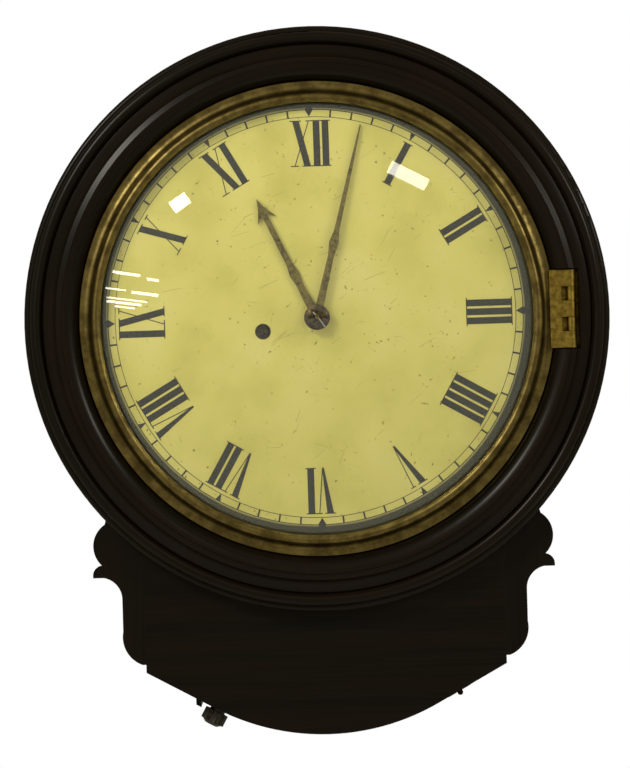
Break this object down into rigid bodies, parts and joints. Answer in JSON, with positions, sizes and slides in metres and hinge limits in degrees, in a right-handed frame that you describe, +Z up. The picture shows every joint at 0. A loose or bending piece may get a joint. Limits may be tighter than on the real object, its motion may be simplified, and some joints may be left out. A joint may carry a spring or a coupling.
{
  "type": "drop dial wall clock",
  "caption": "Round wall clock with a turned wooden surround, hinged brass bezel, painted Roman dial and a short drop with fretted ears that houses its pendulum.",
  "frame": {"origin": "on the dial's axis, on the wall face of the backboard", "axes": "+Z up, +X to the right seen from the front, the dial faces -Y and the wall is at y = 0"},
  "size_m": [0.408, 0.1326, 0.4945],
  "materials": {
    "mahogany": "French polished mahogany",
    "pine": "plain softwood",
    "bezel_brass": "spun brass, tarnished",
    "hinge_brass": "bright rubbed brass",
    "movement_brass": "clock brass",
    "steel": "bright steel",
    "glass": "convex clock glass",
    "plaster": "plaster",
    "dial_paint": "yellowed cream paint on iron",
    "hand_brass": "tarnished brass",
    "boxwood": "pale turned boxwood",
    "gut": "gut"
  },
  "bodies": {
    "case": {"backboard": "pine", "cheek_left": "mahogany", "cheek_right": "mahogany", "case_top": "mahogany", "front_board": "mahogany", "ear_left": "mahogany", "ear_right": "mahogany", "bottom_slats": "mahogany", "wood_blocks": "pine", "hanging_plate": "hinge_brass", "dial_surround": "mahogany", "side_hinges_fixed": "hinge_brass", "bottom_hinges_fixed": "hinge_brass", "case_hinge_leaf": "hinge_brass", "dial_plate": "dial_paint", "dial_feet": "steel", "front_plate": "movement_brass", "back_plate": "movement_brass", "plate_pillars": "movement_brass", "back_cock": "movement_brass", "barrel_arbor": "steel", "hour_bridge": "movement_brass", "gut_line": "gut"},
    "bezel": {"bezel": "bezel_brass", "bezel_glass": "glass", "glass_putty": "plaster", "bezel_hinge_leaf": "hinge_brass"},
    "side_door": {"side_door": "mahogany", "side_hinges_moving": "hinge_brass"},
    "side_door_button": {"side_door_button": "mahogany"},
    "bottom_door": {"bottom_door": "mahogany", "bottom_hinges_moving": "hinge_brass"},
    "bottom_knob": {"bottom_door_knob": "boxwood", "bottom_door_latch": "hinge_brass"},
    "minute_arbor": {"centre_wheel": "movement_brass", "cannon_pinion": "movement_brass", "minute_hand": "hand_brass", "hand_collet": "hand_brass", "hand_pin": "steel"},
    "hour_pipe": {"hour_wheel": "movement_brass", "hour_hand": "hand_brass"},
    "minute_wheel": {"minute_wheel": "movement_brass"},
    "third_arbor": {"third_wheel": "movement_brass"},
    "escape_arbor": {"escape_wheel": "movement_brass"},
    "great_wheel": {"great_wheel": "movement_brass"},
    "fusee": {"fusee": "movement_brass"},
    "barrel": {"barrel": "movement_brass"},
    "anchor": {"pallets": "steel", "crutch": "steel"},
    "pendulum": {"suspension_spring": "steel", "pendulum_rod": "steel", "pendulum_bob": "movement_brass"},
    "rating_nut": {"rating_nut": "movement_brass"}
  },
  "joints": [
    {"name": "bezel_hinge", "type": "hinge", "parent": "case", "child": "bezel", "pos_m": [0.1768, -0.112, 0.002], "axis": [0, 0, 1], "range_deg": [0, 110]},
    {"name": "side_door_hinge", "type": "hinge", "parent": "case", "child": "side_door", "pos_m": [0.1281, -0.0182, -0.005], "axis": [0, 0, 1], "range_deg": [0, 95]},
    {"name": "side_button_turn", "type": "hinge", "parent": "case", "child": "side_door_button", "pos_m": [0.1263, -0.077, -0.005], "axis": [1, 0, 0], "range_deg": [0, 90]},
    {"name": "bottom_door_hinge", "type": "hinge", "parent": "case", "child": "bottom_door", "pos_m": [0.09331, -0.043, -0.26447], "axis": [0, -1, 0], "range_deg": [0, 100]},
    {"name": "bottom_knob_turn", "type": "hinge", "parent": "bottom_door", "child": "bottom_knob", "pos_m": [-0.0765, -0.06, -0.27131], "axis": [0.4815, 0, 0.8765], "range_deg": [0, 90]},
    {"name": "minute_turn", "type": "hinge", "parent": "case", "child": "minute_arbor", "pos_m": [0, 0, 0], "axis": [0, 1, 0], "continuous": true},
    {"name": "hour_turn", "type": "hinge", "parent": "case", "child": "hour_pipe", "pos_m": [0, 0, 0], "axis": [0, 1, 0], "continuous": true},
    {"name": "minute_wheel_turn", "type": "hinge", "parent": "case", "child": "minute_wheel", "pos_m": [0.01584, 0, -0.01584], "axis": [0, 1, 0], "continuous": true},
    {"name": "third_turn", "type": "hinge", "parent": "case", "child": "third_arbor", "pos_m": [0.01453, 0, 0.02418], "axis": [0, 1, 0], "continuous": true},
    {"name": "escape_turn", "type": "hinge", "parent": "case", "child": "escape_arbor", "pos_m": [0, 0, 0.03681], "axis": [0, 1, 0], "continuous": true},
    {"name": "great_turn", "type": "hinge", "parent": "case", "child": "great_wheel", "pos_m": [-0.0377, 0, -0.0081], "axis": [0, 1, 0], "continuous": true},
    {"name": "winding", "type": "hinge", "parent": "case", "child": "fusee", "pos_m": [-0.0377, 0, -0.0081], "axis": [0, 1, 0], "range_deg": [-2880, 2880]},
    {"name": "barrel_turn", "type": "hinge", "parent": "case", "child": "barrel", "pos_m": [0.036, 0, -0.03], "axis": [0, 1, 0], "range_deg": [-1680, 1680]},
    {"name": "pendulum_swing", "type": "hinge", "parent": "case", "child": "pendulum", "pos_m": [0, -0.026, 0.05802], "axis": [0, 1, 0], "range_deg": [-3, 3]},
    {"name": "anchor_swing", "type": "hinge", "parent": "case", "child": "anchor", "pos_m": [0, 0, 0.05802], "axis": [0, 1, 0], "range_deg": [-3, 3]},
    {"name": "rating_nut_turn", "type": "hinge", "parent": "pendulum", "child": "rating_nut", "pos_m": [0, -0.026, -0.228], "axis": [0, 0, 1], "range_deg": [-360, 360]}
  ],
  "couplings": [
    {"joint": "hour_turn", "follows": "minute_turn", "ratio": 0.083333},
    {"joint": "minute_wheel_turn", "follows": "minute_turn", "ratio": -0.5},
    {"joint": "third_turn", "follows": "minute_turn", "ratio": -12},
    {"joint": "escape_turn", "follows": "minute_turn", "ratio": 120},
    {"joint": "great_turn", "follows": "minute_turn", "ratio": -0.083333},
    {"joint": "barrel_turn", "follows": "winding", "ratio": 0.5764},
    {"joint": "anchor_swing", "follows": "pendulum_swing", "ratio": 1}
  ]
}
